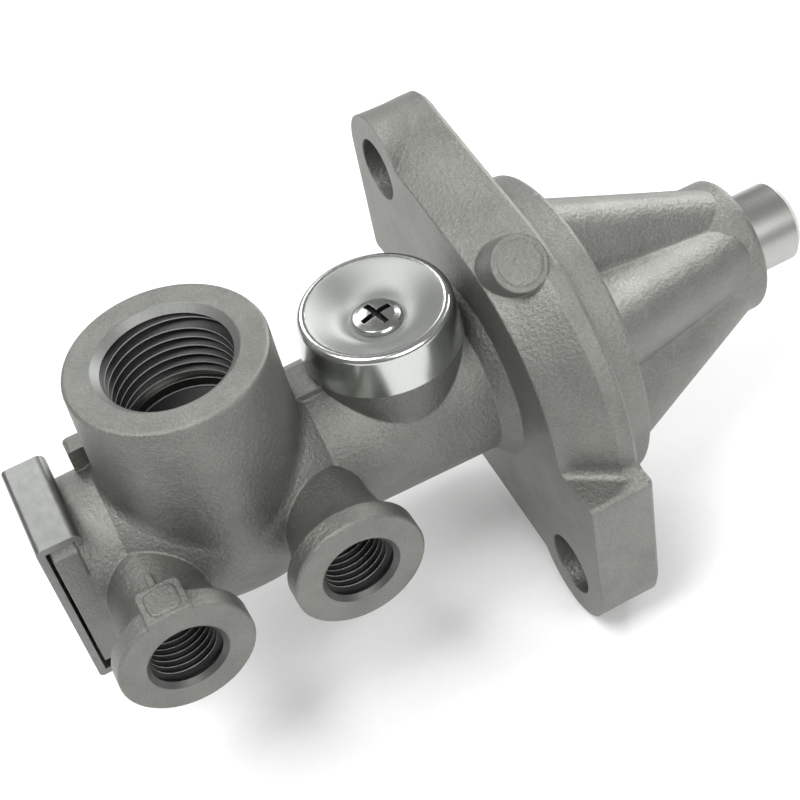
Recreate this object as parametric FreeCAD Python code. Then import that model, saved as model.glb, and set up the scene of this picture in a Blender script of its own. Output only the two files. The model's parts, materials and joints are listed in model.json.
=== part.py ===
import FreeCAD, Part
import math
import os

from FreeCAD import Vector

# Plunger-operated multiway air valve. Millimetres.
# X runs along the valve body towards the plunger and Z runs up the supply port.
# The origin is the centre of the flange's mounting face, on the body axis.

X = Vector(1, 0, 0)
Y = Vector(0, 1, 0)
Z = Vector(0, 0, 1)

# Clearances
SLIDE_GAP = 0.04      # radial, round a sliding shaft
SEAT_GAP = 0.03       # between pieces that stay put in a bore or a stack
RUBBER_GAP = 0.06     # radial, round a rubber ring
SHEET_GAP = 0.12      # round the sheet clip
STOP_GAP = 0.05       # between a moving piece and what stops it

# Places of the ports along the body, measured from the mounting face
SUPPLY_X = -48.0
PORT_ONE_BEHIND_SUPPLY = 12.8
PORT_TWO_BEFORE_SUPPLY = 10.6
EXHAUST_BEFORE_SUPPLY = 27.0
LUG_BEHIND_SUPPLY = 15.3
END_BEHIND_PORT_ONE = 9.5

# Flange with two ears
FLANGE_THICK = 9.1
EAR_HOLE_Y = 22.4
EAR_HOLE_Z = 20.0
EAR_HOLE_R = 4.5
EAR_R = 8.0
FLANK_SLOPE = math.radians(8)
FLANK_R_BACK = 21.4
NOTCH_R_BACK = 22.3
FLANK_R_FRONT = 24.6
NOTCH_R_FRONT = 27.0
NOTCH_Z = 1.0
NOTCH_FILLET = 1.6
NOTCH_CORNER = 0.8
PARTING_X = -2.6
FLANGE_CHAMFER = 0.5
FLANGE_EDGE_SHARE = 0.985
EAR_MID_ANGLE = 1.2
HUB_PAD_R = 3.7
HUB_PAD_FOOT_R = 4.2
HUB_PAD_DEEP = 6.0
HUB_PAD_HIGH = 24.3
HUB_PAD_X = -4.85
HUB_PAD_ALONG = 9.7
HUB_RING_R = 2.9
HUB_RING_HIGH = 0.12

# Body tube and the square flange at its open end
TUBE_R_OPEN = 10.5
TUBE_R_FLANGE = 11.3
TUBE_FLARE = 2.2
MAIN_BORE_R = 7.0
END_FLANGE_THICK = 3.2
END_FLANGE_HALF_Y = 8.9
END_FLANGE_HALF_Z = 12.0
END_FLANGE_CHAMFER = 1.65

# Supply port, and the barrel-shaped chest that its boss stands on
CHEST_HALF = 13.9
CHEST_R = 13.9
CHEST_EDGE = 0.06
CHEST_BLEND = 2.0
BOSS_TOP_Z = 25.3
BOSS_R_TOP = 12.95
BOSS_R_LOW = 13.65
BOSS_RIM = 0.5
SUPPLY_THREAD_R = 9.0
SUPPLY_THREAD_DEEP = 12.4
SUPPLY_RELIEF_R = 8.3
SUPPLY_RELIEF_DEEP = 1.6
SUPPLY_RELIEF_SLOPE = 0.8
SUPPLY_PASSAGE_R = 5.6
MOUTH_CHAMFER = 0.28

# Two delivery ports
PORT_FACE_Y = -22.8
PORT_FLANGE_R = 8.8
PORT_FLANGE_THICK = 3.1
PORT_FLANGE_EDGE = 0.3
PORT_NECK_R = 6.1
PORT_NECK_R_OUT = 8.3
PORT_NECK_FLARE = 4.0
PORT_THREAD_R = 5.0
PORT_THREAD_DEEP = 9.6
PORT_DRILL_POINT = 1.4
PORT_PASSAGE_R = 2.6
PAD_TOP_Z = 8.75
PAD_HALF_X = 2.85
PAD_LONG = 5.3
PAD_ROUND = 0.9

# Webs cast on top of the tube
WEB_HALF_Y = 2.6
WEB_UNDER_NECK = 0.2
LUG_NEAR_Y = 4.5
LUG_FAR_Y = 7.2
LUG_HIGH = 2.7
LUG_ROUND = 0.8
GUSSET_HALF_Y = 3.4
GUSSET_UNDER_NECK = 0.6
GUSSET_ROUND = 2.6

# Exhaust neck, flap and cap
NECK_TOP_Z = 12.1
NECK_R_TOP = 10.4
NECK_R_LOW = 9.0
NECK_WALL = 1.9
CHAMBER_FLOOR_Z = 9.6
SEAT_R = 6.0
SEAT_WIDE = 0.9
POST_R = 3.4
VENT_R = 1.1
VENT_LOW_Z = 2.0
VENT_COUNT = 6
FLAP_R = 7.2
FLAP_THICK = 1.2
FLAP_PLATE_R = 4.6
FLAP_PLATE_THICK = 0.8
SPACER_R = 3.8
CAP_R = 10.2
CAP_SKIRT_R = 10.75
CAP_RIM_Z = 18.5
CAP_GAP = 0.4
CAP_DISH_Z = 15.7
CAP_DISH_SAG = 0.25
CAP_DISH_FLAT_R = 3.9
CAP_SHEET = 0.9
CAP_ROLL = 0.9
CAP_ROLL_TURN = 0.7
SCREW_R = 2.0
SCREW_HEAD_R = 3.35
SCREW_HEAD_THICK = 0.5
SCREW_DOME = 0.7
SCREW_LONG = 7.2
SCREW_TIP_CHAMFER = 0.5
SCREW_FREE_R = 0.15
CROSS_LONG = 2.2
CROSS_WIDE = 0.8
CROSS_DEEP = 0.9
CROSS_TURN = 12

# Ribbed nose
PILOT_R = 22.3
PILOT_LONG = 5.0
PILOT_EDGE = 0.6
CORE_R = 15.2
NOSE_R = 9.9
NOSE_END_X = 32.5
NOSE_RIM = 1.0
RIB_COUNT = 6
RIB_TOP_R = 21.4
RIB_LOW_R = 9.5
RIB_END_X = 31.0
RIB_END_DEEP = 0.7
RIB_FIRST = 87.0
RIB_BREADTH = 0.62
RIB_POINTS = 14

# Plunger and its guide
PLUNGER_R = 5.9
PLUNGER_OUT = 8.7
PLUNGER_CHAMFER = 1.0
PLUNGER_TAIL_R = 4.5
PLUNGER_TAIL_X = -1.0
PLUNGER_TAIL_CHAMFER = 0.4
COLLAR_R = 6.85
COLLAR_THICK = 3.0
STOP_X = 6.0
STOP_BORE_R = 6.4
TRAVEL = 5.5
GUIDE_R = 7.5
GUIDE_X = 17.0
BUSH_LONG = 9.6
SEAL_LONG = 2.2
WIPER_LONG = 2.4
LIP_HIGH = 0.6
LIP_LONG = 0.7

# Spool, its seals and the cages between them
SPOOL_R = 4.0
WAIST_R = 2.6
SPOOL_ROD_R = 3.0
SPOOL_CHAMFER = 0.4
WAIST_RAMP = 0.8
LAST_SEAL_BEYOND_EXHAUST = 7.7
SEAL_SECTION_R = 1.43
LAND_OVER = 1.8
CAGE_BORE_R = 4.35
GALLERY_DEEP = 1.1
WINDOW_R = 1.6
WINDOW_PAIRS = 4
CAGE_NAMES = ("port_one_cage", "supply_cage", "port_two_cage", "exhaust_cage")

# End plug, circlip and springs
PLUG_LONG = 5.4
PLUG_FLOOR = 1.4
PLUG_GROOVE_X = 3.35
PLUG_RING_SECTION_R = 0.75
PLUG_POCKET_SIDE = 0.4
PLUG_POCKET_END = 0.6
PLUG_SEAT_DEEP = 0.8
CIRCLIP_OPENING = 1.6
CIRCLIP_THICK = 1.0
CIRCLIP_DEEP = 0.5
CIRCLIP_WIDE = 1.5
SPRING_SEAT_THICK = 0.8
SPRING_SEAT_SIDE = 0.4
RETURN_WIRE = 1.1
RETURN_TURNS = 4.0
RETURN_SIDE = 0.5
CHORDS_PER_TURN = 16
SPOOL_SPRING_WIRE = 0.5
SPOOL_SPRING_TURNS = 6.0
SPOOL_SPRING_SIDE = 0.25
SPOOL_POCKET_R = 2.4
SPOOL_POCKET_DEEP = 3.6

# Retaining clip
CLIP_SHEET = 1.0
CLIP_PLATE_GAP = 0.45
CLIP_NEAR_Y = -8.8
CLIP_FAR_Y = 6.6
CLIP_LIP = 0.8
CLIP_BEND_PLATE = 0.7
CLIP_BEND_LIP = 1.2

# Worked out from the sizes above
PORT_ONE_X = SUPPLY_X - PORT_ONE_BEHIND_SUPPLY
PORT_TWO_X = SUPPLY_X + PORT_TWO_BEFORE_SUPPLY
EXHAUST_X = SUPPLY_X + EXHAUST_BEFORE_SUPPLY
LUG_X = SUPPLY_X - LUG_BEHIND_SUPPLY
END_FLANGE_X = PORT_ONE_X - END_BEHIND_PORT_ONE
OPEN_TUBE_X = END_FLANGE_X + END_FLANGE_THICK
FLANGE_BACK_X = -FLANGE_THICK
WEB_TOP_Z = NECK_TOP_Z - WEB_UNDER_NECK
CAP_SKIRT_Z = NECK_TOP_Z + CAP_GAP
VENT_RING_R = (POST_R + SEAT_R) / 2
PLUG_FACE_X = END_FLANGE_X + PLUG_LONG
PLUG_POCKET_X = END_FLANGE_X + PLUG_FLOOR + PLUG_SEAT_DEEP
SPOOL_OPEN_X = PLUG_POCKET_X + PLUG_POCKET_END + TRAVEL
PLUG_RING_X = END_FLANGE_X + PLUG_GROOVE_X
PLUNGER_TIP_X = NOSE_END_X + PLUNGER_OUT
COLLAR_X = STOP_X - STOP_GAP - COLLAR_THICK
SEAL_HALF = SEAL_SECTION_R + SEAT_GAP
SEAL_X = (
    (PORT_ONE_X + SUPPLY_X) / 2,
    (SUPPLY_X + PORT_TWO_X) / 2,
    (PORT_TWO_X + EXHAUST_X) / 2,
    EXHAUST_X + LAST_SEAL_BEYOND_EXHAUST,
)
CIRCLIP_X = SEAL_X[-1] + SEAL_HALF
SEAT_X = CIRCLIP_X + CIRCLIP_THICK + SEAT_GAP
SPRING_SEAT_X = SEAT_X + SPRING_SEAT_THICK
FLAP_Z = NECK_TOP_Z
FLAP_PLATE_Z = FLAP_Z + FLAP_THICK
SPACER_Z = FLAP_PLATE_Z + FLAP_PLATE_THICK


def rod(radius, start, end):
    """Solid cylinder between two points."""
    line = end - start
    return Part.makeCylinder(radius, line.Length, start, line)


def x_rod(radius, x_start, x_end):
    return rod(radius, Vector(x_start, 0, 0), Vector(x_end, 0, 0))


def x_ring(outer, inner, x_start, x_end):
    return x_rod(outer, x_start, x_end).cut(x_rod(inner, x_start, x_end))


def block(x_pair, y_pair, z_pair):
    size = [pair[1] - pair[0] for pair in (x_pair, y_pair, z_pair)]
    return Part.makeBox(*size, Vector(x_pair[0], y_pair[0], z_pair[0]))


def smooth_edge(points, closed=False):
    curve = Part.BSplineCurve()
    curve.interpolate(points, PeriodicFlag=closed)
    return curve.toShape()


def turned(profile, centre, axis, side, curved=None):
    """Revolves (along, radius) pairs about an axis; the pairs numbered in curved lie on a curve."""
    points = [centre + axis * along + side * radius for along, radius in profile]
    first, last = curved or (0, 0)
    edges = Part.makePolygon(points[:first + 1]).Edges if first else []
    if curved:
        edges.append(smooth_edge(points[first:last + 1]))
    edges += Part.makePolygon(points[last:] + points[:1]).Edges
    return Part.Face(Part.Wire(edges)).revolve(centre, axis, 360)


def ring_torus(main_radius, section_radius, centre, axis):
    return Part.makeTorus(main_radius, section_radius, centre, axis)


def around_x(shape, degrees):
    copy = shape.copy()
    copy.rotate(Vector(0, 0, 0), X, degrees)
    return copy


def polar_point(x, radius, degrees):
    turn = math.radians(degrees)
    return Vector(x, radius * math.cos(turn), radius * math.sin(turn))


def flank_meets_ear(x, flank_r):
    """Point where the sloping flank line runs into the round ear."""
    slope = Vector(0, math.cos(FLANK_SLOPE), math.sin(FLANK_SLOPE))
    normal = Vector(0, -math.sin(FLANK_SLOPE), math.cos(FLANK_SLOPE))
    ear = Vector(0, EAR_HOLE_Y, EAR_HOLE_Z)
    above = flank_r - ear.dot(normal)
    reach = math.sqrt(max(EAR_R ** 2 - above ** 2, 0.01))
    return Vector(x, 0, 0) + normal * flank_r + slope * (ear.dot(slope) - reach)


def half_flange_edges(x, flank_r, notch_r):
    """Edges of the outline from the flank, over one ear and down to the notch below it."""
    ear_side_y = EAR_HOLE_Y + EAR_R
    flank = polar_point(x, flank_r, 90 + math.degrees(FLANK_SLOPE))
    ear_start = flank_meets_ear(x, flank_r)
    ear_middle = Vector(0, math.cos(EAR_MID_ANGLE), math.sin(EAR_MID_ANGLE)) * EAR_R
    ear_top = Vector(x, EAR_HOLE_Y, EAR_HOLE_Z) + ear_middle
    ear_side = Vector(x, ear_side_y, EAR_HOLE_Z)
    bulge = 1 - math.sqrt(0.5)
    corner_in = Vector(x, ear_side_y, NOTCH_Z + NOTCH_CORNER)
    corner_mid = Vector(x, ear_side_y, NOTCH_Z) + Vector(0, -bulge, bulge) * NOTCH_CORNER
    corner_out = Vector(x, ear_side_y - NOTCH_CORNER, NOTCH_Z)
    fillet_in = Vector(x, notch_r + NOTCH_FILLET, NOTCH_Z)
    fillet_mid = Vector(x, notch_r, NOTCH_Z) + Vector(0, bulge, -bulge) * NOTCH_FILLET
    fillet_out = Vector(x, notch_r, NOTCH_Z - NOTCH_FILLET)
    hub_mid = polar_point(x, (flank_r + notch_r) / 2, -45 + math.degrees(FLANK_SLOPE) / 2)
    next_flank = polar_point(x, flank_r, -90 + math.degrees(FLANK_SLOPE))
    return [
        Part.makeLine(flank, ear_start),
        Part.Arc(ear_start, ear_top, ear_side).toShape(),
        Part.makeLine(ear_side, corner_in),
        Part.Arc(corner_in, corner_mid, corner_out).toShape(),
        Part.makeLine(corner_out, fillet_in),
        Part.Arc(fillet_in, fillet_mid, fillet_out).toShape(),
        Part.Arc(fillet_out, hub_mid, next_flank).toShape(),
    ]


def flange_outline(x, flank_r, notch_r, shrink=1.0):
    half = Part.Wire(half_flange_edges(x, flank_r, notch_r))
    whole = Part.Wire(half.Edges + around_x(half, 180).Edges)
    if shrink != 1.0:
        matrix = FreeCAD.Matrix()
        matrix.A22 = shrink
        matrix.A33 = shrink
        whole = whole.transformGeometry(matrix)
    return whole


def mounting_flange():
    back = flange_outline(FLANGE_BACK_X, FLANK_R_BACK, NOTCH_R_BACK)
    parting = flange_outline(PARTING_X, FLANK_R_FRONT, NOTCH_R_FRONT)
    drafted = Part.makeLoft([back, parting], True, True)
    rim = Part.Face(parting).extrude(X * (-PARTING_X - FLANGE_CHAMFER))
    outer = flange_outline(-FLANGE_CHAMFER, FLANK_R_FRONT, NOTCH_R_FRONT)
    inner = flange_outline(0, FLANK_R_FRONT, NOTCH_R_FRONT, FLANGE_EDGE_SHARE)
    edge = Part.makeLoft([outer, inner], True, True)
    return drafted.fuse([rim, edge, hub_pad()]).removeSplitter()


def hub_pad():
    """Drafted round casting pad that stands on the flank of the flange."""
    out = Vector(0, -1, 1).normalize()
    along = Vector(0, 1, 1).normalize()
    top = X * HUB_PAD_X + along * HUB_PAD_ALONG + out * HUB_PAD_HIGH
    foot = top - out * HUB_PAD_DEEP
    pad = Part.makeCone(HUB_PAD_FOOT_R, HUB_PAD_R, HUB_PAD_DEEP, foot, out)
    return pad.fuse(rod(HUB_RING_R, foot, top + out * HUB_RING_HIGH))


def nose_section(x, valley_r, crest_r):
    """Closed curve of six broad round ribs with narrower valleys between them."""
    count = RIB_COUNT * RIB_POINTS
    points = []
    for i in range(count):
        turn = 2 * math.pi * i / RIB_POINTS
        lobe = (0.5 + 0.5 * math.cos(turn)) ** RIB_BREADTH
        radius = valley_r + (crest_r - valley_r) * lobe
        points.append(polar_point(x, radius, RIB_FIRST + 360 * i / count))
    return Part.Wire(smooth_edge(points, closed=True))


def nose():
    """Pilot, then six ribs that run straight down into the round tip."""
    pilot = x_rod(PILOT_R, -1, PILOT_LONG)
    pilot = pilot.makeFillet(PILOT_EDGE, [pilot.Edges[i] for i in front_edges(pilot, PILOT_LONG)])
    tip = x_rod(NOSE_R, 0, NOSE_END_X)
    tip = tip.makeFillet(NOSE_RIM, [tip.Edges[i] for i in front_edges(tip, NOSE_END_X)])
    root = nose_section(PILOT_LONG / 2, CORE_R, RIB_TOP_R)
    end = nose_section(RIB_END_X, RIB_LOW_R - RIB_END_DEEP, RIB_LOW_R)
    ribbed = Part.makeLoft([root, end], True, True)
    return pilot.fuse([tip, ribbed])


def front_edges(solid, x):
    """Numbers of the round edges that lie in the plane at x."""
    found = []
    for i, edge in enumerate(solid.Edges):
        if abs(edge.BoundBox.XMin - x) < 1e-6 and abs(edge.BoundBox.XMax - x) < 1e-6:
            found.append(i)
    return found


def tube_radius(x):
    """Outside radius of the slightly tapered tube."""
    share = (x - OPEN_TUBE_X) / (FLANGE_BACK_X - OPEN_TUBE_X)
    return TUBE_R_OPEN + (TUBE_R_FLANGE - TUBE_R_OPEN) * share


def tube():
    straight = Part.makeCone(
        TUBE_R_OPEN, TUBE_R_FLANGE, FLANGE_BACK_X - OPEN_TUBE_X, Vector(OPEN_TUBE_X, 0, 0), X
    )
    flare = Part.makeCone(
        TUBE_R_FLANGE - 0.1, TUBE_R_FLANGE + TUBE_FLARE, TUBE_FLARE + 0.1,
        Vector(FLANGE_BACK_X - TUBE_FLARE, 0, 0), X,
    )
    return straight.fuse(flare)


def end_flange():
    """Square flange that the clip's lips hook behind, with its long corners taken off."""
    half_y = (-END_FLANGE_HALF_Y, END_FLANGE_HALF_Y)
    half_z = (-END_FLANGE_HALF_Z, END_FLANGE_HALF_Z)
    plate = block((END_FLANGE_X, OPEN_TUBE_X), half_y, half_z)
    corners = [edge for edge in plate.Edges if edge.BoundBox.XLength > END_FLANGE_THICK / 2]
    return plate.makeChamfer(END_FLANGE_CHAMFER, corners)


def chest():
    """Barrel round the spool, from which the supply boss rises."""
    start, end = SUPPLY_X - CHEST_HALF, SUPPLY_X + CHEST_HALF
    start_point = Vector(start, 0, tube_radius(start) + CHEST_EDGE)
    end_point = Vector(end, 0, tube_radius(end) + CHEST_EDGE)
    bulge = Part.Arc(start_point, Vector(SUPPLY_X, 0, CHEST_R), end_point).toShape()
    under = Part.makePolygon([end_point, Vector(end, 0, 0), Vector(start, 0, 0), start_point])
    return Part.Face(Part.Wire([bulge] + under.Edges)).revolve(Vector(0, 0, 0), X, 360)


def supply_boss():
    """Tapered boss on the chest, blended where it leaves it."""
    slope = (BOSS_R_LOW - BOSS_R_TOP) / BOSS_TOP_Z
    profile = [
        (0, 0),
        (0, BOSS_R_LOW),
        (BOSS_TOP_Z - BOSS_RIM, BOSS_R_TOP + BOSS_RIM * slope),
        (BOSS_TOP_Z - BOSS_RIM * 0.3, BOSS_R_TOP - BOSS_RIM * 0.3),
        (BOSS_TOP_Z, BOSS_R_TOP - BOSS_RIM),
        (BOSS_TOP_Z, 0),
    ]
    both = chest().fuse(turned(profile, Vector(SUPPLY_X, 0, 0), Z, X))
    blend = [edge for edge in both.Edges if is_blend(edge)]
    return both.makeFillet(CHEST_BLEND, blend)


def is_blend(edge):
    """True for the curve along which the boss leaves the chest."""
    box = edge.BoundBox
    return box.XLength > CHEST_HALF and 0 < box.ZMin and box.ZMax < BOSS_TOP_Z - 1


def neck_curve(share):
    """Flare of a port neck, from the body at 0 to the port flange at 1."""
    return PORT_NECK_R + (PORT_NECK_R_OUT - PORT_NECK_R) * share ** PORT_NECK_FLARE


def port_neck(x):
    face = -PORT_FACE_Y
    flange_in = face - PORT_FLANGE_THICK
    start = MAIN_BORE_R
    steps = 6
    flare = [
        (start + (flange_in - start) * i / steps, neck_curve(i / steps)) for i in range(steps + 1)
    ]
    last = len(flare) + 1
    profile = [(2, 0), (2, PORT_NECK_R)] + flare + [
        (flange_in + PORT_FLANGE_EDGE, PORT_FLANGE_R),
        (face - PORT_FLANGE_EDGE, PORT_FLANGE_R),
        (face, PORT_FLANGE_R - PORT_FLANGE_EDGE),
        (face, 0),
    ]
    return turned(profile, Vector(x, 0, 0), -Y, Z, curved=(2, last))


def port_pad():
    """Square pad on the neck of the first port, flush with the face of its flange."""
    y_near = PORT_FACE_Y
    half = PAD_HALF_X
    pad = block(
        (PORT_ONE_X - half, PORT_ONE_X + half), (y_near, y_near + PAD_LONG), (0, PAD_TOP_Z)
    )
    upright = [edge for edge in pad.Edges if edge.BoundBox.ZLength > PAD_TOP_Z / 2]
    behind = [edge for edge in upright if edge.BoundBox.YMin > y_near + PAD_LONG / 2]
    return pad.makeFillet(PAD_ROUND, behind)


def exhaust_neck():
    """Neck that widens upwards, with a rounded gusset that ties it to the mounting flange."""
    neck = Part.makeCone(NECK_R_LOW, NECK_R_TOP, NECK_TOP_Z, Vector(EXHAUST_X, 0, 0), Z)
    top_z = NECK_TOP_Z - GUSSET_UNDER_NECK
    gusset = block((EXHAUST_X, FLANGE_BACK_X + 1), (-GUSSET_HALF_Y, GUSSET_HALF_Y), (0, top_z))
    top = [edge for edge in gusset.Edges if abs(edge.BoundBox.ZMin - top_z) < 0.01]
    long_top = [edge for edge in top if edge.BoundBox.XLength > 1]
    return neck.fuse(gusset.makeFillet(GUSSET_ROUND, long_top))


def body_webs():
    """Cast webs on top of the tube: boss to neck, and the short one behind the boss."""
    bridge = block((SUPPLY_X, EXHAUST_X), (-WEB_HALF_Y, WEB_HALF_Y), (0, WEB_TOP_Z))
    top_z = TUBE_R_OPEN + LUG_HIGH
    lug = block((LUG_X, SUPPLY_X), (LUG_NEAR_Y, LUG_FAR_Y), (0, top_z))
    end = [edge for edge in lug.Edges if abs(edge.BoundBox.XMax - LUG_X) < 0.01]
    across = [edge for edge in end if edge.BoundBox.ZMin > top_z - 1]
    return [bridge, lug.makeFillet(LUG_ROUND, across)]


def supply_bore():
    floor = BOSS_TOP_Z - SUPPLY_THREAD_DEEP
    relief = floor - SUPPLY_RELIEF_DEEP
    mouth = SUPPLY_THREAD_R + MOUTH_CHAMFER
    profile = [
        (BOSS_TOP_Z + 1, 0), (BOSS_TOP_Z + 1, mouth), (BOSS_TOP_Z, mouth),
        (BOSS_TOP_Z - MOUTH_CHAMFER * 3, SUPPLY_THREAD_R), (floor, SUPPLY_THREAD_R),
        (floor, SUPPLY_RELIEF_R), (relief, SUPPLY_RELIEF_R),
        (relief - SUPPLY_RELIEF_SLOPE, SUPPLY_PASSAGE_R),
        (0, SUPPLY_PASSAGE_R), (0, 0),
    ]
    return turned(profile, Vector(SUPPLY_X, 0, 0), Z, X)


def port_bore(x):
    face = -PORT_FACE_Y
    floor = face - PORT_THREAD_DEEP
    mouth = PORT_THREAD_R + MOUTH_CHAMFER
    profile = [
        (face + 1, 0), (face + 1, mouth), (face, mouth), (face - MOUTH_CHAMFER * 2, PORT_THREAD_R),
        (floor, PORT_THREAD_R), (floor - PORT_DRILL_POINT, PORT_PASSAGE_R),
        (0, PORT_PASSAGE_R), (0, 0),
    ]
    return turned(profile, Vector(x, 0, 0), -Y, Z)


def exhaust_chamber():
    """Space under the exhaust cap, leaving the flap's seat, the post and the vent holes."""
    centre = Vector(EXHAUST_X, 0, 0)
    open_r = NECK_R_TOP - NECK_WALL
    top = Vector(EXHAUST_X, 0, NECK_TOP_Z + 1)
    floor = Vector(EXHAUST_X, 0, CHAMBER_FLOOR_Z)
    outer = rod(open_r, floor, top).cut(rod(SEAT_R + SEAT_WIDE, floor, top))
    inner = rod(SEAT_R, floor, top).cut(rod(POST_R, floor, top))
    vents = []
    for i in range(VENT_COUNT):
        turn = 2 * math.pi * i / VENT_COUNT
        side = Vector(math.cos(turn), math.sin(turn), 0) * VENT_RING_R
        vents.append(rod(VENT_R, centre + side + Z * VENT_LOW_Z, floor + side + Z * 0.1))
    screw_hole = rod(SCREW_R + SEAT_GAP, screw_tip() - Z * 0.4, top)
    return [outer, inner, screw_hole] + vents


def screw_tip():
    return Vector(EXHAUST_X, 0, CAP_DISH_Z - SCREW_LONG)


def long_bores():
    groove_end = CIRCLIP_X + CIRCLIP_THICK + SEAT_GAP
    circlip_groove = x_rod(MAIN_BORE_R + CIRCLIP_DEEP, CIRCLIP_X, groove_end)
    return [
        x_rod(MAIN_BORE_R, END_FLANGE_X - 1, STOP_X),
        circlip_groove,
        x_rod(STOP_BORE_R, STOP_X - 1, GUIDE_X + 1),
        x_rod(GUIDE_R, GUIDE_X, NOSE_END_X + 1),
    ]


def ear_holes():
    holes = []
    for side in (1, -1):
        foot = Vector(FLANGE_BACK_X - 1, side * EAR_HOLE_Y, side * EAR_HOLE_Z)
        holes.append(rod(EAR_HOLE_R, foot, foot + X * (FLANGE_THICK + 2)))
    return holes


def valve_body():
    solids = [end_flange(), supply_boss(), exhaust_neck(), mounting_flange(), nose(), port_pad()]
    solids += [port_neck(PORT_ONE_X), port_neck(PORT_TWO_X)]
    solids += body_webs()
    cast = tube().fuse(solids)
    cuts = [supply_bore(), port_bore(PORT_ONE_X), port_bore(PORT_TWO_X)]
    cuts += exhaust_chamber() + long_bores() + ear_holes()
    return cast.cut(cuts)


def end_plug():
    """Round plug with an O-ring groove and a pocket that the spool's end moves into."""
    radius = MAIN_BORE_R - SEAT_GAP
    groove_half = PLUG_RING_SECTION_R + SEAT_GAP
    plug = x_rod(radius, END_FLANGE_X, PLUG_FACE_X)
    groove_r = radius - 2 * PLUG_RING_SECTION_R - SEAT_GAP
    groove = x_ring(radius + 1, groove_r, PLUG_RING_X - groove_half, PLUG_RING_X + groove_half)
    pocket = x_rod(SPOOL_R + PLUG_POCKET_SIDE, PLUG_POCKET_X, PLUG_FACE_X + 1)
    spring_well = x_rod(SPOOL_POCKET_R, PLUG_POCKET_X - PLUG_SEAT_DEEP, PLUG_FACE_X)
    return plug.cut([groove, pocket, spring_well])


def plug_o_ring():
    main_radius = MAIN_BORE_R - SEAT_GAP - PLUG_RING_SECTION_R
    return ring_torus(main_radius, PLUG_RING_SECTION_R, Vector(PLUG_RING_X, 0, 0), X)


def retaining_clip():
    """Spring sheet bent to a C: plate over the plug, bands above and below, lips behind."""
    x_in = END_FLANGE_X - CLIP_PLATE_GAP
    x_lip = OPEN_TUBE_X + SHEET_GAP
    z_in = END_FLANGE_HALF_Z + SHEET_GAP
    x_pair = (x_in - CLIP_SHEET, x_lip + CLIP_SHEET)
    z_out = z_in + CLIP_SHEET
    past = (CLIP_NEAR_Y - 1, CLIP_FAR_Y + 1)
    outer = block(x_pair, (CLIP_NEAR_Y, CLIP_FAR_Y), (-z_out, z_out))
    outer = outer.makeFillet(CLIP_BEND_PLATE, bend_edges(outer, x_pair[0]))
    outer = outer.makeFillet(CLIP_BEND_LIP, bend_edges(outer, x_pair[1]))
    inner = block((x_in, x_lip), past, (-z_in, z_in))
    lip_z = z_in - CLIP_LIP
    mouth = block((x_in, x_pair[1] + 1), past, (-lip_z, lip_z))
    return outer.cut([inner, mouth])


def bend_edges(sheet, x):
    """Edges along Y in the plane at x, where the sheet is bent."""
    along = [edge for edge in sheet.Edges if edge.BoundBox.YLength > 1]
    return [edge for edge in along if abs(edge.BoundBox.Center.x - x) < 0.01]


def cages():
    starts = [PLUG_FACE_X] + [x + SEAL_HALF for x in SEAL_X[:-1]]
    ends = [x - SEAL_HALF for x in SEAL_X]
    centres = (PORT_ONE_X, SUPPLY_X, PORT_TWO_X, EXHAUST_X)
    made = {}
    for name, start, end, middle in zip(CAGE_NAMES, starts, ends, centres):
        sleeve = x_ring(MAIN_BORE_R - SEAT_GAP, CAGE_BORE_R, start + SEAT_GAP, end)
        gallery_r = MAIN_BORE_R - GALLERY_DEEP
        gallery = x_ring(MAIN_BORE_R + 1, gallery_r, middle - WINDOW_R, middle + WINDOW_R)
        windows = []
        for i in range(WINDOW_PAIRS):
            turn = math.pi * i / WINDOW_PAIRS
            side = Vector(0, math.cos(turn), math.sin(turn)) * (MAIN_BORE_R + 1)
            centre = Vector(middle, 0, 0)
            windows.append(rod(WINDOW_R, centre - side, centre + side))
        made[name] = sleeve.cut([gallery] + windows)
    return made


def spool_seals():
    inner = SPOOL_R + RUBBER_GAP
    main_radius = inner + SEAL_SECTION_R
    made = {}
    for number, x in enumerate(SEAL_X, start=1):
        made["spool_seal_%d" % number] = ring_torus(main_radius, SEAL_SECTION_R, Vector(x, 0, 0), X)
    return made


def spool():
    """Turned spool: at rest it joins supply to port one and port two to the exhaust."""
    over = SEAL_SECTION_R + LAND_OVER
    waist_one = (SEAL_X[0] - over, SEAL_X[0] + over)
    waist_two = (SEAL_X[1] + LAND_OVER, SEAL_X[2] + over - WAIST_RAMP)
    land_end = SEAL_X[3] + TRAVEL + LAND_OVER
    rod_end = PLUNGER_TAIL_X - STOP_GAP
    profile = [(SPOOL_OPEN_X, 0), (SPOOL_OPEN_X, SPOOL_R - SPOOL_CHAMFER)]
    profile.append((SPOOL_OPEN_X + SPOOL_CHAMFER, SPOOL_R))
    for start, end in (waist_one, waist_two):
        profile += [
            (start, SPOOL_R), (start + WAIST_RAMP, WAIST_R), (end - WAIST_RAMP, WAIST_R), (end, SPOOL_R)
        ]
    profile += [
        (land_end, SPOOL_R), (land_end, SPOOL_ROD_R), (rod_end, SPOOL_ROD_R), (rod_end, 0)
    ]
    solid = turned(profile, Vector(0, 0, 0), X, Y)
    pocket = x_rod(SPOOL_POCKET_R, SPOOL_OPEN_X - 1, SPOOL_OPEN_X + SPOOL_POCKET_DEEP)
    return solid.cut(pocket)


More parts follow.
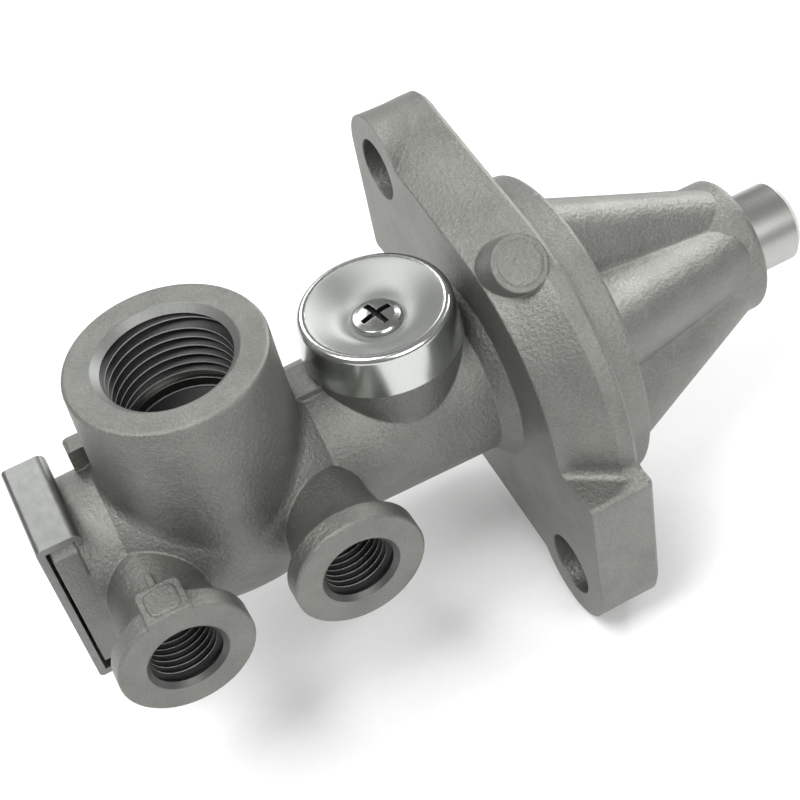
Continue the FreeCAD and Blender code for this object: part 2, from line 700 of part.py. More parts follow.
def plunger():
    tip = PLUNGER_TIP_X
    profile = [
        (PLUNGER_TAIL_X, 0), (PLUNGER_TAIL_X, PLUNGER_TAIL_R - PLUNGER_TAIL_CHAMFER),
        (PLUNGER_TAIL_X + PLUNGER_TAIL_CHAMFER, PLUNGER_TAIL_R),
        (COLLAR_X, PLUNGER_TAIL_R), (COLLAR_X, COLLAR_R),
        (COLLAR_X + COLLAR_THICK, COLLAR_R), (COLLAR_X + COLLAR_THICK, PLUNGER_R),
        (tip - PLUNGER_CHAMFER, PLUNGER_R), (tip, PLUNGER_R - PLUNGER_CHAMFER), (tip, 0),
    ]
    return turned(profile, Vector(0, 0, 0), X, Y)


def guide_bush():
    return x_ring(GUIDE_R - SEAT_GAP, PLUNGER_R + SLIDE_GAP, GUIDE_X + SEAT_GAP, GUIDE_X + BUSH_LONG)


def plunger_seal():
    """Lip seal between the bush and the wiper."""
    start = GUIDE_X + BUSH_LONG + SEAT_GAP
    outer, inner = GUIDE_R - SEAT_GAP, PLUNGER_R + RUBBER_GAP
    profile = [
        (start, outer), (start, inner + LIP_HIGH), (start + LIP_LONG, inner + LIP_HIGH),
        (start + 2 * LIP_LONG, inner), (start + SEAL_LONG, inner), (start + SEAL_LONG, outer),
    ]
    return turned(profile, Vector(0, 0, 0), X, Y)


def wiper_ring():
    """Dust wiper in the mouth of the nose."""
    start = GUIDE_X + BUSH_LONG + SEAL_LONG + 2 * SEAT_GAP
    outer, inner = GUIDE_R - SEAT_GAP, PLUNGER_R + RUBBER_GAP
    end = start + WIPER_LONG
    profile = [
        (start, outer), (start, inner + LIP_HIGH), (end - LIP_LONG, inner + LIP_HIGH),
        (end, inner), (end, inner + LIP_HIGH / 2), (end - LIP_LONG / 2, outer),
    ]
    return turned(profile, Vector(0, 0, 0), X, Y)


def stack_circlip():
    """Internal circlip that stops the seal stack, open at the bottom."""
    ring = x_ring(
        MAIN_BORE_R + CIRCLIP_DEEP - SEAT_GAP, MAIN_BORE_R - CIRCLIP_WIDE,
        CIRCLIP_X + SEAT_GAP, CIRCLIP_X + CIRCLIP_THICK,
    )
    opening = block(
        (CIRCLIP_X - 1, CIRCLIP_X + CIRCLIP_THICK + 1),
        (-CIRCLIP_OPENING, CIRCLIP_OPENING),
        (-MAIN_BORE_R - 2, 0),
    )
    return ring.cut(opening)


def spring_seat():
    inner = SPOOL_R + SPRING_SEAT_SIDE
    return x_ring(MAIN_BORE_R - SEAT_GAP, inner, SEAT_X, SPRING_SEAT_X)


def coil(radius, wire, turns, x_start, x_end):
    """Compression spring about X, its round wire mitred between short chords."""
    gap = wire / 2 + STOP_GAP
    long = x_end - x_start - 2 * gap
    steps = int(turns * CHORDS_PER_TURN)
    points = []
    for i in range(steps + 1):
        x = x_start + gap + long * i / steps
        points.append(polar_point(x, radius, 360 * i / CHORDS_PER_TURN))
    section = Part.Wire(Part.makeCircle(wire / 2, points[0], points[1] - points[0]))
    return Part.makePolygon(points).makePipeShell([section], True, False, 1)


def return_spring():
    radius = PLUNGER_TAIL_R + RETURN_SIDE + RETURN_WIRE / 2
    return coil(radius, RETURN_WIRE, RETURN_TURNS, SPRING_SEAT_X, COLLAR_X)


def spool_spring():
    start = PLUG_POCKET_X - PLUG_SEAT_DEEP
    end = SPOOL_OPEN_X + SPOOL_POCKET_DEEP
    radius = SPOOL_POCKET_R - SPOOL_SPRING_SIDE - SPOOL_SPRING_WIRE / 2
    return coil(radius, SPOOL_SPRING_WIRE, SPOOL_SPRING_TURNS, start, end)


def exhaust_flap():
    low = Vector(EXHAUST_X, 0, FLAP_Z + SEAT_GAP)
    top = Vector(EXHAUST_X, 0, FLAP_PLATE_Z)
    return rod(FLAP_R, low, top).cut(rod(SCREW_R + SCREW_FREE_R, low, top))


def flap_plate():
    low = Vector(EXHAUST_X, 0, FLAP_PLATE_Z + SEAT_GAP)
    top = Vector(EXHAUST_X, 0, SPACER_Z)
    return rod(FLAP_PLATE_R, low, top).cut(rod(SCREW_R + SCREW_FREE_R, low, top))


def cap_spacer():
    low = Vector(EXHAUST_X, 0, SPACER_Z + SEAT_GAP)
    top = Vector(EXHAUST_X, 0, CAP_DISH_Z - CAP_SHEET)
    return rod(SPACER_R, low, top).cut(rod(SCREW_R + SCREW_FREE_R, low, top))


def cap_roll():
    """Rolled rim of the cap, from outside to inside."""
    points = []
    for i in range(7):
        turn = math.pi * CAP_ROLL_TURN * i / 6
        high = CAP_RIM_Z - CAP_ROLL + CAP_ROLL * math.sin(turn)
        points.append((high, CAP_R - CAP_ROLL + CAP_ROLL * math.cos(turn)))
    return points


def exhaust_cap():
    """Turned sheet cap: skirt, rolled rim and dished top with a hole for the screw."""
    hole = SCREW_R + SCREW_FREE_R
    high = CAP_DISH_Z + SEAT_GAP
    roll = cap_roll()
    roll_end = roll[-1]
    middle = ((roll_end[0] + high) / 2 - CAP_DISH_SAG, (roll_end[1] + CAP_DISH_FLAT_R) / 2)
    outside = [(CAP_SKIRT_Z, CAP_SKIRT_R)] + roll + [middle, (high, CAP_DISH_FLAT_R), (high, hole)]
    low = high - CAP_SHEET
    under_roll = CAP_RIM_Z - CAP_ROLL - CAP_SHEET
    inside = [
        (low, hole), (low, CAP_DISH_FLAT_R), (middle[0] - CAP_SHEET, middle[1]),
        (under_roll, CAP_R - CAP_ROLL - CAP_SHEET),
        (under_roll, CAP_R - CAP_SHEET), (CAP_SKIRT_Z, CAP_SKIRT_R - CAP_SHEET),
    ]
    curved = (1, len(roll) + 2)
    return turned(outside + inside, Vector(EXHAUST_X, 0, 0), Z, X, curved)


def exhaust_screw():
    """Pan-head screw with a cross recess."""
    seat = CAP_DISH_Z + 2 * SEAT_GAP
    top = seat + SCREW_HEAD_THICK + SCREW_DOME
    dome = []
    for i in range(5):
        turn = math.pi / 2 * i / 4
        high = seat + SCREW_HEAD_THICK + SCREW_DOME * math.sin(turn)
        dome.append((high, SCREW_HEAD_R * math.cos(turn)))
    tip = screw_tip().z
    chamfer = SCREW_TIP_CHAMFER
    shank = [(tip, 0), (tip, SCREW_R - chamfer), (tip + chamfer, SCREW_R), (seat, SCREW_R)]
    solid = turned(shank + [(seat, SCREW_HEAD_R)] + dome, Vector(EXHAUST_X, 0, 0), Z, X)
    return solid.cut(cross_recess(top))


def cross_recess(top):
    z_pair = (top - CROSS_DEEP, top + 1)
    arm = block((-CROSS_LONG, CROSS_LONG), (-CROSS_WIDE / 2, CROSS_WIDE / 2), z_pair)
    other = arm.copy()
    other.rotate(Vector(0, 0, 0), Z, 90)
    cross = arm.fuse(other)
    cross.rotate(Vector(0, 0, 0), Z, CROSS_TURN)
    cross.translate(Vector(EXHAUST_X, 0, 0))
    return cross


def save(name, shape):
    os.makedirs("parts", exist_ok=True)
    shape.exportStep("parts/%s.step" % name)


def main():
    pieces = {
        "valve_body": valve_body(),
        "end_plug": end_plug(),
        "plug_o_ring": plug_o_ring(),
        "retaining_clip": retaining_clip(),
        "spool": spool(),
        "spool_spring": spool_spring(),
        "stack_circlip": stack_circlip(),
        "spring_seat": spring_seat(),
        "return_spring": return_spring(),
        "plunger": plunger(),
        "guide_bush": guide_bush(),
        "plunger_seal": plunger_seal(),
        "wiper_ring": wiper_ring(),
        "exhaust_flap": exhaust_flap(),
        "flap_plate": flap_plate(),
        "cap_spacer": cap_spacer(),
        "exhaust_cap": exhaust_cap(),
        "exhaust_screw": exhaust_screw(),
    }
    pieces.update(cages())
    pieces.update(spool_seals())
    for name, shape in pieces.items():
        save(name, shape)
        print(name, shape.isValid(), len(shape.Solids), round(shape.Volume, 1))


main()
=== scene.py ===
import json
import math

import bmesh
import bpy
from mathutils import Matrix, Vector


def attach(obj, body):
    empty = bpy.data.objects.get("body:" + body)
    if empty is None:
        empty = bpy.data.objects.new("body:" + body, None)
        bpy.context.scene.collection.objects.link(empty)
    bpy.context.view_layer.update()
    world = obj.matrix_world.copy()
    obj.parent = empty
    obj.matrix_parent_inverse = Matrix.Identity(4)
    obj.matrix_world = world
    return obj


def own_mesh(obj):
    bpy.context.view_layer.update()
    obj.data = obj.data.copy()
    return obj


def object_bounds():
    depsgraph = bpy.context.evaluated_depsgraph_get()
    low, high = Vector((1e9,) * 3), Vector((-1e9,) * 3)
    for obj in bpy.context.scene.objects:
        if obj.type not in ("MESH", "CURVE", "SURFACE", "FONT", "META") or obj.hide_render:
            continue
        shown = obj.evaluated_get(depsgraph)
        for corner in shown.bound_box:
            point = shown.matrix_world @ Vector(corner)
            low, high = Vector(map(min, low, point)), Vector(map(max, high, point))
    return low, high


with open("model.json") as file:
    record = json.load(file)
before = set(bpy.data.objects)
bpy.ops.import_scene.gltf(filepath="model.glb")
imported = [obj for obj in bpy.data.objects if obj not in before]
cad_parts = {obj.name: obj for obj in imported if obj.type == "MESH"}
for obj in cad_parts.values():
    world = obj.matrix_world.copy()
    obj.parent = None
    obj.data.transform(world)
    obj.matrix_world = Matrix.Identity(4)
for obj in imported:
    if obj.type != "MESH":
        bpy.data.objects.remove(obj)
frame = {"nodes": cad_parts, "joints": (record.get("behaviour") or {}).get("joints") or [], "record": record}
CAD_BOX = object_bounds()
NODES = frame["nodes"]
MOUNTS = {mount["name"]: mount for mount in frame["record"]["mounts"]}
MM = 0.001


def mount_x(name):
    """Place of a mount along the body's axis, in millimetres."""
    return MOUNTS[name]["pos_m"][0] / MM


# Ports and exhaust, in millimetres in the frame of the valve
SUPPLY_X = mount_x("supply_port")
SUPPLY_R = MOUNTS["supply_port"]["dims"]["r_mm"]
SUPPLY_TOP_Z = 25.3
SUPPLY_STEP = 13.9
SUPPLY_STEP_R = 8.3
PORT_X = (mount_x("port_one"), mount_x("port_two"))
PORT_R = MOUNTS["port_one"]["dims"]["r_mm"]
PORT_FACE_Y = -22.8
EXHAUST_X = -21.0

# Threads: start and end are depths below the face of the port
SUPPLY_PITCH = 1.5
SUPPLY_START = 1.6
SUPPLY_END = 11.6
PORT_PITCH = 1.0
PORT_START = 1.2
PORT_END = 9.3
THREAD_HEIGHT = 0.6134
CREST_SHARE = 0.13
ROOT_SHARE = 0.46
FOOT_UNDER = 0.08
FADE_IN_TURNS = 0.4
FADE_OUT_TURNS = 0.7
FADE_SINK = 0.05
THREAD_STEPS = 72
# Profile edge whose faces take the painted highlight
CREST_EDGE = 1

# Countersunk mouths and the thin ring at the step of the supply bore
SUPPLY_SINK = 0.95
PORT_SINK = 0.65
SINK_UNDER = 0.45
MOUTH_CHAMFER = 0.28
MOUTH_SKIN = 0.02
MOUTH_BACK = 0.3
IN_WALL = 0.05
STEP_RING_HALF = 0.16
STEP_RING_FOOT = 0.03
RING_STEPS = 96

# Casting marks: heights along z, outlines in x and y
FIELD_MIDDLE = (PORT_X[0], -20.2)
FIELD_HALF = (2.1, 2.0)
FIELD_POWER = 4
FIELD_LOW_Z = 8.5
FIELD_TOP_Z = 8.9
NIB_MIDDLE = (PORT_X[0] - 0.2, -15.2)
NIB_HALF = (0.5, 1.5)
NIB_POWER = 6
NIB_LOW_Z = 5.5
NIB_TOP_Z = 6.95
MARK_BEVEL = 0.12
MARK_SHRINK = 0.93
OUTLINE_POINTS = 48

# What tells the faces of a node apart: shares of the normal, then millimetres
LEVEL = 0.99
STEEP = 0.2
NEAR_FLANGE_FACE = 0.1
NEAR_BORE = 0.4
NEAR_STEP = 0.05
NEAR_PASSAGE = 0.1
SUPPLY_BORE_LOW_Z = 8.0
PASSAGE_LOW_Z = 4.0
PORT_BORE_PAST = 2.0
DISH_R = 9.0
HEAD_Z = 15.85
CROSS_LONG = 2.3
CROSS_Z = 16.3

# Camera of the photograph: place, lens and sensor in millimetres, clip distances in metres
CAMERA_PLACE = (-63.24, -138.04, 148.02)
CAMERA_RIGHT = (0.88114, -0.44465, -0.16085)
CAMERA_DOWN = (-0.42532, -0.59667, -0.68051)
CAMERA_AHEAD = (0.20662, 0.66804, -0.71487)
CAMERA_LENS = 68.79
SENSOR_WIDE = 36.0
CLIP_NEAR = 0.01
CLIP_FAR = 20

# Soft boxes: name, place in metres, power in watts, side in metres
SOFT_BOXES = (
    ("key", (-0.35, -0.05, 0.75), 5.0, 0.4),
    ("front", (0.15, -0.65, 0.6), 4.0, 0.5),
    ("side", (0.7, 0.45, 0.45), 6.0, 0.3),
    ("back", (-0.1, 0.8, 0.6), 2.5, 0.4),
)
LIT_POINT = (-0.02, 0, 0)
ROOM_LIGHT = 0.35

# Floor, in metres
FLOOR_SIDE = 6
FLOOR_BELOW = 0.001

BEVEL_SAMPLES = 6


class Shader:
    """A node material, written as short calls. Sizes are in millimetres."""

    def __init__(self, name, **sockets):
        self.material = bpy.data.materials.new(name)
        self.material.use_nodes = True
        self.tree = self.material.node_tree
        self.surface = self.tree.nodes["Principled BSDF"]
        for socket, value in sockets.items():
            self.surface.inputs[socket.replace("_", " ")].default_value = value
        self.place = self.node("ShaderNodeTexCoord").outputs["Object"]

    def node(self, kind, **sockets):
        made = self.tree.nodes.new(kind)
        for socket, value in sockets.items():
            self.put(made.inputs[socket.replace("_", " ")], value)
        return made

    def put(self, socket, value):
        if isinstance(value, bpy.types.NodeSocket):
            self.tree.links.new(value, socket)
        else:
            socket.default_value = value

    def set(self, socket, value):
        self.put(self.surface.inputs[socket], value)

    def noise(self, size, detail=2.0, rough=0.5, place=None):
        """Noise with spots of about that size."""
        made = self.node(
            "ShaderNodeTexNoise", Vector=place or self.place, Scale=1 / (size * MM),
            Detail=detail, Roughness=rough,
        )
        return made.outputs["Fac"]

    def cells(self, size):
        made = self.node("ShaderNodeTexVoronoi", Vector=self.place, Scale=1 / (size * MM))
        return made.outputs["Distance"]

    def stretched(self, x, y, z):
        made = self.node("ShaderNodeMapping", Vector=self.place, Scale=(x, y, z))
        return made.outputs["Vector"]

    def ramp(self, value, *stops):
        """Colours along a value: (position, colour) pairs."""
        made = self.node("ShaderNodeValToRGB", Fac=value)
        ramp = made.color_ramp
        while len(ramp.elements) < len(stops):
            ramp.elements.new(0.5)
        for element, (position, colour) in zip(ramp.elements, stops):
            element.position = position
            element.color = (*colour, 1)
        return made.outputs["Color"]

    def span(self, value, low, high):
        """The value, which runs from 0 to 1, spread from low to high."""
        made = self.node("ShaderNodeMapRange", Value=value, To_Min=low, To_Max=high)
        return made.outputs["Result"]

    def math(self, kind, *values):
        made = self.tree.nodes.new("ShaderNodeMath")
        made.operation = kind
        for socket, value in zip(made.inputs, values):
            self.put(socket, value)
        return made.outputs["Value"]

    def bump(self, height, deep, normal=None):
        """Relief of height times deep."""
        made = self.node("ShaderNodeBump", Height=height, Distance=deep * MM, Strength=1.0)
        if normal:
            self.put(made.inputs["Normal"], normal)
        return made.outputs["Normal"]

    def soft_edges(self, radius):
        made = self.tree.nodes.new("ShaderNodeBevel")
        made.samples = BEVEL_SAMPLES
        made.inputs["Radius"].default_value = radius * MM
        return made.outputs["Normal"]

    def turn_about(self, axis):
        """Highlights spread as fine turning about that axis spreads them."""
        made = self.tree.nodes.new("ShaderNodeTangent")
        made.direction_type = "RADIAL"
        made.axis = axis
        self.set("Tangent", made.outputs["Tangent"])


def grey(level):
    return (level, level, level)


def steel(level, warm=0.0):
    """Grey of bare metal, a shade towards green, or towards yellow where it is warm."""
    return (level * (STEEL_RED + warm), level, level * (STEEL_BLUE - 2 * warm))


STEEL_RED = 0.975
STEEL_BLUE = 0.965
CAST_DARK = (0.158, 0.162, 0.148)
CAST_LIGHT = (0.258, 0.264, 0.242)
BRONZE_PORE = (0.30, 0.20, 0.09)
BRONZE = (0.58, 0.42, 0.2)


def cast_aluminium():
    """Blasted casting: fine grain, soft blotches, rounded edges."""
    shader = Shader("cast_aluminium", Metallic=0.85, Roughness=0.5)
    fine = shader.noise(size=0.24, detail=3, rough=0.65)
    pits = shader.cells(size=0.6)
    blotch = shader.noise(size=6.0, detail=4, rough=0.6)
    mixed = shader.math("MULTIPLY_ADD", blotch, 0.35, shader.math("MULTIPLY", fine, 0.65))
    shader.set("Base Color", shader.ramp(mixed, (0.35, CAST_DARK), (0.65, CAST_LIGHT)))
    shader.set("Roughness", shader.span(fine, low=0.36, high=0.58))
    edges = shader.soft_edges(radius=0.45)
    grain = shader.bump(fine, deep=0.09, normal=edges)
    shader.set("Normal", shader.bump(pits, deep=0.05, normal=grain))
    return shader.material


def machined_aluminium():
    """Faces turned or milled after casting."""
    shader = Shader("machined_aluminium", Metallic=1.0)
    fine = shader.noise(size=0.15)
    shader.set("Base Color", shader.ramp(fine, (0.2, steel(0.19, 0.01)), (0.8, steel(0.24, 0.01))))
    shader.set("Roughness", shader.span(fine, low=0.30, high=0.42))
    edges = shader.soft_edges(radius=0.2)
    shader.set("Normal", shader.bump(fine, deep=0.008, normal=edges))
    return shader.material


def bore_metal(name, dark, light, shine):
    """Cut metal inside the ports, between two grey levels, as metallic as shine."""
    shader = Shader(name, Metallic=shine)
    fine = shader.noise(size=0.3)
    shader.set("Base Color", shader.ramp(fine, (0.2, steel(dark)), (0.8, steel(light))))
    shader.set("Roughness", shader.span(fine, low=0.42, high=0.56))
    edges = shader.soft_edges(radius=0.06)
    shader.set("Normal", shader.bump(fine, deep=0.006, normal=edges))
    return shader.material


def turned_metal(name, dark, light, shine, rough):
    """Metal turned about the z axis, with the fan of highlights that fine turning gives."""
    shader = Shader(name, Metallic=shine, Roughness=rough, Anisotropic=0.85)
    shader.turn_about("Z")
    fine = shader.noise(size=0.2)
    shader.set("Base Color", shader.ramp(fine, (0.2, steel(dark)), (0.8, steel(light))))
    shader.set("Normal", shader.bump(fine, deep=0.002))
    return shader.material


def screw_steel():
    """Bright plating, a little uneven."""
    shader = Shader("screw_steel", Metallic=1.0)
    fine = shader.noise(size=0.4)
    shader.set("Base Color", shader.ramp(fine, (0.3, steel(0.34)), (0.7, steel(0.42))))
    shader.set("Roughness", shader.span(fine, low=0.16, high=0.28))
    shader.set("Normal", shader.soft_edges(radius=0.12))
    return shader.material


def clip_steel():
    """Galvanised sheet, satin, with faint cloudy crystals and rolling lines."""
    shader = Shader("clip_steel", Metallic=1.0)
    cloud = shader.noise(size=1.6, detail=3, rough=0.6)
    lines = shader.noise(size=0.5, place=shader.stretched(3, 0.2, 3))
    shader.set("Base Color", shader.ramp(cloud, (0.3, steel(0.205)), (0.7, steel(0.245))))
    shader.set("Roughness", shader.span(lines, low=0.34, high=0.48))
    edges = shader.soft_edges(radius=0.15)
    shader.set("Normal", shader.bump(lines, deep=0.008, normal=edges))
    return shader.material


def plunger_steel():
    """Ground round bar with faint lines round the axis."""
    shader = Shader("plunger_steel", Metallic=1.0, Anisotropic=0.6)
    shader.turn_about("X")
    lines = shader.noise(size=0.6, detail=3, rough=0.6, place=shader.stretched(12, 0.15, 0.15))
    shader.set("Base Color", shader.ramp(lines, (0.3, steel(0.36, 0.01)), (0.7, steel(0.44, 0.01))))
    shader.set("Roughness", shader.span(lines, low=0.24, high=0.38))
    edges = shader.soft_edges(radius=0.12)
    shader.set("Normal", shader.bump(lines, deep=0.004, normal=edges))
    return shader.material


def spring_steel():
    """Plain drawn wire and stamped washers."""
    shader = Shader("spring_steel", Metallic=1.0)
    fine = shader.noise(size=0.4)
    shader.set("Base Color", shader.ramp(fine, (0.3, grey(0.28)), (0.7, grey(0.36))))
    shader.set("Roughness", shader.span(fine, low=0.25, high=0.4))
    return shader.material


def black_rubber():
    """Matt moulded rubber."""
    shader = Shader("black_rubber", Metallic=0.0)
    fine = shader.noise(size=0.3, detail=3, rough=0.6)
    shader.set("Base Color", shader.ramp(fine, (0.3, grey(0.018)), (0.7, grey(0.032))))
    shader.set("Roughness", shader.span(fine, low=0.5, high=0.75))
    edges = shader.soft_edges(radius=0.1)
    shader.set("Normal", shader.bump(fine, deep=0.01, normal=edges))
    return shader.material


def cage_plastic():
    """Dark moulded plastic."""
    shader = Shader("cage_plastic", Metallic=0.0)
    fine = shader.noise(size=0.5)
    shader.set("Base Color", shader.ramp(fine, (0.3, grey(0.12)), (0.7, grey(0.16))))
    shader.set("Roughness", shader.span(fine, low=0.35, high=0.5))
    return shader.material


def bush_bronze():
    """Sintered bronze with dark pores."""
    shader = Shader("bush_bronze", Metallic=1.0)
    pores = shader.cells(size=0.3)
    shader.set("Base Color", shader.ramp(pores, (0.0, BRONZE_PORE), (0.4, BRONZE)))
    shader.set("Roughness", shader.span(pores, low=0.3, high=0.5))
    return shader.material


# Materials by the slots of the record
MATERIALS = {
    "cast_aluminium": cast_aluminium(),
    "turned_aluminium": machined_aluminium(),
    "clip_steel": clip_steel(),
    "cap_steel": turned_metal("turned_cap", dark=0.26, light=0.31, shine=0.45, rough=0.46),
    "screw_steel": screw_steel(),
    "plunger_steel": plunger_steel(),
    "spring_steel": spring_steel(),
    "rubber": black_rubber(),
    "cage_plastic": cage_plastic(),
    "bush_bronze": bush_bronze(),
}

# Finishes of single faces and of added pieces; some are painted highlight or painted shade
FINISHES = {
    "cast": MATERIALS["cast_aluminium"],
    "machined": MATERIALS["turned_aluminium"],
    # Thread crests: cut metal made bright as a painted highlight
    "painted_crest_highlight": bore_metal("thread_crest_painted_highlight", dark=0.60, light=0.72, shine=0.3),
    # Near-black metal, painted shade: on thread flanks, the unlit supply passage and the screw's cross
    "painted_shade": bore_metal("painted_shade_metal", dark=0.035, light=0.055, shine=0.9),
    "supply_mouth": bore_metal("supply_mouth", dark=0.20, light=0.27, shine=0.7),
    # Port mouths and the step ring: cut metal painted darker than the machined faces, as shade inside the
    # bores
    "painted_shade_cut_edge": bore_metal("cut_metal_painted_shade", dark=0.10, light=0.13, shine=0.9),
    "skirt": turned_metal("polished_skirt", dark=0.50, light=0.58, shine=1.0, rough=0.16),
}


def dress_nodes():
    """Gives every CAD node the material of its slot in the record."""
    for part in frame["record"]["subparts"]:
        materials = NODES[part["node"]].data.materials
        materials.clear()
        materials.append(MATERIALS[part["material_slot"]])


def dress_faces(node, finishes, choose):
    """Adds finishes after a node's own material, and gives each face the one that choose numbers."""
    mesh = NODES[node].data
    for finish in finishes:
        mesh.materials.append(FINISHES[finish])
    for face in mesh.polygons:
        face.material_index = choose(face.center / MM, face.normal)


def is_machined(centre, normal):
    """True for the mounting face of the flange and for what is cut inside the three ports."""
    x, y, z = centre
    if normal.x > LEVEL and abs(x) < NEAR_FLANGE_FACE:
        return True
    if z > SUPPLY_BORE_LOW_Z and math.hypot(x - SUPPLY_X, y) < SUPPLY_R + NEAR_BORE:
        return True
    for port_x in PORT_X:
        in_port = math.hypot(x - port_x, z) < PORT_R + NEAR_BORE
        if in_port and y < PORT_FACE_Y + PORT_END + PORT_BORE_PAST:
            return True
    return False


def is_deep(centre):
    """True for the unlit passage below the supply thread."""
    x, y, z = centre
    if not PASSAGE_LOW_Z < z < SUPPLY_TOP_Z - SUPPLY_STEP + NEAR_STEP:
        return False
    return math.hypot(x - SUPPLY_X, y) < SUPPLY_STEP_R + NEAR_PASSAGE


def casting_face(centre, normal):
    """Own material, 1 for machined, 2 for the unlit passage, painted dark as shade."""
    if is_deep(centre):
        return 2
    if is_machined(centre, normal):
        return 1
    return 0


def cap_face(centre, normal):
    """Own material inside the dish, 1 for rim and skirt."""
    x, y, z = centre
    return 1 if math.hypot(x - EXHAUST_X, y) > DISH_R else 0


def screw_face(centre, normal):
    """Own material, 1 for the walls and floor of the cross in the head, painted dark as shade."""
    x, y, z = centre
    if z <= HEAD_Z or math.hypot(x - EXHAUST_X, y) >= CROSS_LONG:
        return 0
    return 1 if abs(normal.z) < STEEP or z < CROSS_Z else 0


def springs():
    """Gives each spring that a joint deforms a mesh of its own."""
    for joint in frame["joints"]:
        for deforming in joint["deforming_nodes"]:
            spring = NODES[deforming["node"]]
            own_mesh(spring)


class Bore:
    """A round hole: the middle of its face, its axis out of the part, and its radius."""

    def __init__(self, foot, axis, radius):
        self.foot = Vector(foot)
        self.axis = Vector(axis)
        self.radius = radius
        self.side = Vector((1, 0, 0))
        self.other = self.axis.cross(self.side)

    def point(self, angle, deep, radius):
        """Point that deep below the face and that far from the axis, in metres."""
        outward = self.side * math.cos(angle) + self.other * math.sin(angle)
        return (self.foot - self.axis * deep + outward * radius) * MM


def skin(mesh, rings, edge=None):
    """Faces between each ring of points and the next, with the second material along one edge."""
    size = len(rings[0])
    for near, far in zip(rings, rings[1:]):
        for j in range(size):
            k = (j + 1) % size
            face = mesh.faces.new((near[j], near[k], far[k], far[j]))
            face.material_index = 1 if j == edge else 0


def close_ends(mesh, rings):
    """Faces over the first and the last ring."""
    mesh.faces.new(rings[0])
    mesh.faces.new(list(reversed(rings[-1])))


def finish_piece(name, mesh, *finishes):
    """Makes the mesh a piece of the casting, with those finishes."""
    bmesh.ops.recalc_face_normals(mesh, faces=mesh.faces)
    data = bpy.data.meshes.new(name)
    mesh.to_mesh(data)
    mesh.free()
    piece = bpy.data.objects.new(name, data)
    bpy.context.scene.collection.objects.link(piece)
    for finish in finishes:
        data.materials.append(FINISHES[finish])
    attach(piece, "housing")


def thread_profile(pitch):
    """Corners of the ridge: (along, height) pairs, foot to crest to foot. The feet lie under the wall."""
    height = THREAD_HEIGHT * pitch
    under = -FOOT_UNDER * pitch
    return [
        (-ROOT_SHARE * pitch, under), (-CREST_SHARE / 2 * pitch, height),
        (CREST_SHARE / 2 * pitch, height), (ROOT_SHARE * pitch, under),
    ]


def thread_fade(step, count):
    """Share of its full height that the ridge has at a step, which fades in and out at the ends."""
    from_start = step / (THREAD_STEPS * FADE_IN_TURNS)
    from_end = (count - step) / (THREAD_STEPS * FADE_OUT_TURNS)
    return math.sin(min(1.0, from_start, from_end) * math.pi / 2)


def thread(name, bore, pitch, start, end):
    """Helical ridge of an inside thread, as one closed mesh."""
    turns = (end - start) / pitch
    count = int(turns * THREAD_STEPS)
    mesh = bmesh.new()
    rings = []
    for i in range(count + 1):
        angle = 2 * math.pi * i / THREAD_STEPS
        down = start + pitch * i / THREAD_STEPS
        fade = thread_fade(i, count)
        ring = []
        for along, height in thread_profile(pitch):
            rise = height if height < 0 else height * fade - FADE_SINK * (1 - fade)
            ring.append(mesh.verts.new(bore.point(angle, down + along, bore.radius - rise)))
        rings.append(ring)
    skin(mesh, rings, CREST_EDGE)
    close_ends(mesh, rings)
    # Flanks take painted shade, the crest faces a painted highlight
    finish_piece(name, mesh, "painted_shade", "painted_crest_highlight")


def bore_ring(name, bore, profile, finish):
    """Ring inside a port, turned from (depth, radius) pairs, as one closed mesh."""
    mesh = bmesh.new()
    rings = []
    for i in range(RING_STEPS):
        angle = 2 * math.pi * i / RING_STEPS
        rings.append([mesh.verts.new(bore.point(angle, deep, radius)) for deep, radius in profile])
    skin(mesh, rings + rings[:1])
    finish_piece(name, mesh, finish)


def mouth_profile(radius, sink):
    """Countersunk start of a thread, with a sloping face down to sink."""
    outer = radius + MOUTH_CHAMFER
    return [
        (MOUTH_SKIN, outer - MOUTH_SKIN), (sink, outer - sink),
        (sink + SINK_UNDER, radius + IN_WALL), (MOUTH_BACK, outer + IN_WALL),
    ]


def step_profile():
    """Thin raised ring round the step of the supply bore."""
    foot = SUPPLY_STEP_R + STEP_RING_FOOT
    return [
        (SUPPLY_STEP - STEP_RING_HALF, foot), (SUPPLY_STEP, SUPPLY_STEP_R - STEP_RING_HALF),
        (SUPPLY_STEP + STEP_RING_HALF, foot),
    ]


def supply_inside():
    """Thread, countersunk mouth and step ring of the supply port."""
    bore = Bore((SUPPLY_X, 0, SUPPLY_TOP_Z), (0, 0, 1), SUPPLY_R)
    thread("supply_thread", bore, SUPPLY_PITCH, SUPPLY_START, SUPPLY_END)
    bore_ring("supply_mouth", bore, mouth_profile(SUPPLY_R, SUPPLY_SINK), "supply_mouth")
    # The step ring takes the darker cut metal, painted shade
    bore_ring("supply_step", bore, step_profile(), "painted_shade_cut_edge")


def ports_inside():
    """Thread and countersunk mouth of both side ports."""
    for number, x in enumerate(PORT_X, start=1):
        bore = Bore((x, PORT_FACE_Y, 0), (0, -1, 0), PORT_R)
        thread("port_thread_%d" % number, bore, PORT_PITCH, PORT_START, PORT_END)
        # The port mouths take the darker cut metal, painted shade
        bore_ring("port_mouth_%d" % number, bore, mouth_profile(PORT_R, PORT_SINK), "painted_shade_cut_edge")


def rounded_square(middle, half, power):
    """Outline between a circle, at power 2, and a square."""
    points = []
    for i in range(OUTLINE_POINTS):
        angle = 2 * math.pi * i / OUTLINE_POINTS
        x, y = math.cos(angle), math.sin(angle)
        reach = (abs(x) ** power + abs(y) ** power) ** (-1 / power)
        points.append((middle[0] + half[0] * reach * x, middle[1] + half[1] * reach * y))
    return points


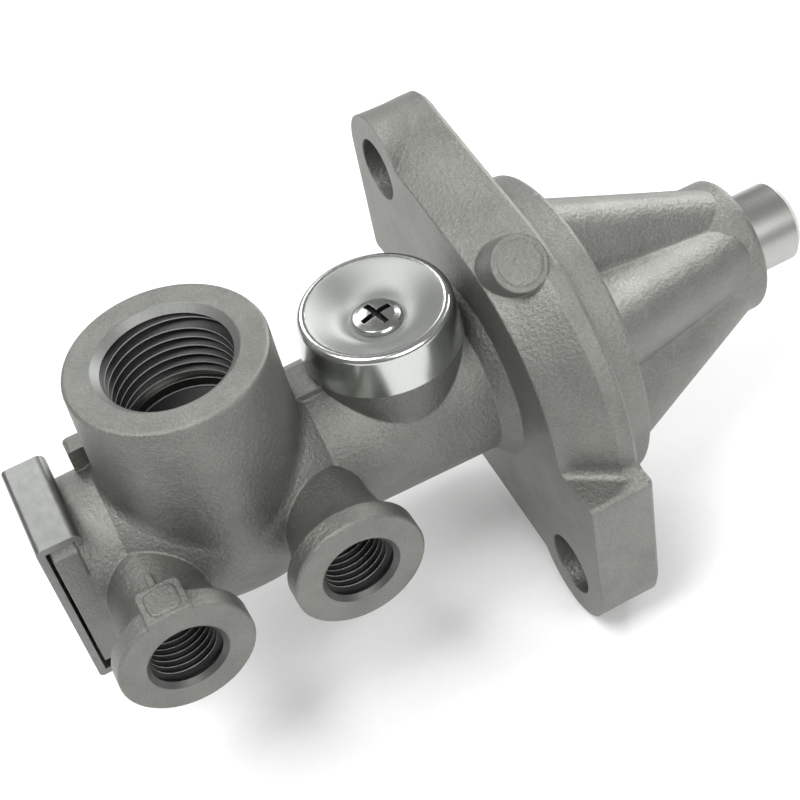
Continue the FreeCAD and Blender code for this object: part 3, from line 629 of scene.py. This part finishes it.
def plate(name, outline, low, top):
    """Low casting mark: an outline of (x, y) pairs between two heights, with a narrower top."""
    middle = sum((Vector(point) for point in outline), Vector((0, 0))) / len(outline)
    mesh = bmesh.new()
    rings = []
    for z, shrink in ((low, 1.0), (top - MARK_BEVEL, 1.0), (top, MARK_SHRINK)):
        corners = [middle + (Vector(point) - middle) * shrink for point in outline]
        rings.append([mesh.verts.new(Vector((*corner, z)) * MM) for corner in corners])
    skin(mesh, rings)
    close_ends(mesh, rings)
    finish_piece(name, mesh, "cast")


def casting_marks():
    """Raised field on the port pad and the nib behind it."""
    plate("pad_field", rounded_square(FIELD_MIDDLE, FIELD_HALF, FIELD_POWER), FIELD_LOW_Z, FIELD_TOP_Z)
    plate("neck_nib", rounded_square(NIB_MIDDLE, NIB_HALF, NIB_POWER), NIB_LOW_Z, NIB_TOP_Z)


def floor():
    """Pale paper just below the valve."""
    bpy.ops.mesh.primitive_plane_add(size=FLOOR_SIDE, location=(0, 0, CAD_BOX[0].z - FLOOR_BELOW))
    plane = bpy.context.object
    plane.name = "floor"
    shader = Shader("floor_paper", Roughness=0.9)
    fibres = shader.noise(size=2.0, detail=3, rough=0.6)
    shader.set("Base Color", shader.ramp(fibres, (0.0, grey(0.86)), (1.0, grey(0.9))))
    plane.data.materials.append(shader.material)


def camera():
    """Camera that sees the valve as the photograph does."""
    data = bpy.data.cameras.new("camera")
    data.sensor_width = SENSOR_WIDE
    data.lens = CAMERA_LENS
    data.clip_start = CLIP_NEAR
    data.clip_end = CLIP_FAR
    made = bpy.data.objects.new("camera", data)
    right, down, ahead = Vector(CAMERA_RIGHT), Vector(CAMERA_DOWN), Vector(CAMERA_AHEAD)
    turn = Matrix((right, -down, -ahead)).transposed().to_4x4()
    made.matrix_world = Matrix.Translation(Vector(CAMERA_PLACE) * MM) @ turn
    bpy.context.scene.collection.objects.link(made)
    bpy.context.scene.camera = made


def soft_box(name, place, power, side):
    """Square soft light that faces the valve."""
    data = bpy.data.lights.new(name, "AREA")
    data.energy = power
    data.size = side
    made = bpy.data.objects.new(name, data)
    made.location = place
    made.rotation_euler = (Vector(LIT_POINT) - made.location).to_track_quat("-Z", "Y").to_euler()
    bpy.context.scene.collection.objects.link(made)


def room():
    """White surroundings that fill the shadows."""
    world = bpy.data.worlds.new("studio")
    world.use_nodes = True
    background = world.node_tree.nodes["Background"].inputs
    background["Color"].default_value = (1, 1, 1, 1)
    background["Strength"].default_value = ROOM_LIGHT
    bpy.context.scene.world = world


dress_nodes()
# The unlit supply passage takes the near-black finish as painted shade
dress_faces("valve_body", ("machined", "painted_shade"), casting_face)
dress_faces("exhaust_cap", ("skirt",), cap_face)
# The cross in the screw head takes the near-black finish as painted shade
dress_faces("exhaust_screw", ("painted_shade",), screw_face)
springs()
supply_inside()
ports_inside()
casting_marks()
floor()
camera()
for soft in SOFT_BOXES:
    soft_box(*soft)
room()
bpy.context.scene.view_settings.view_transform = "Standard"
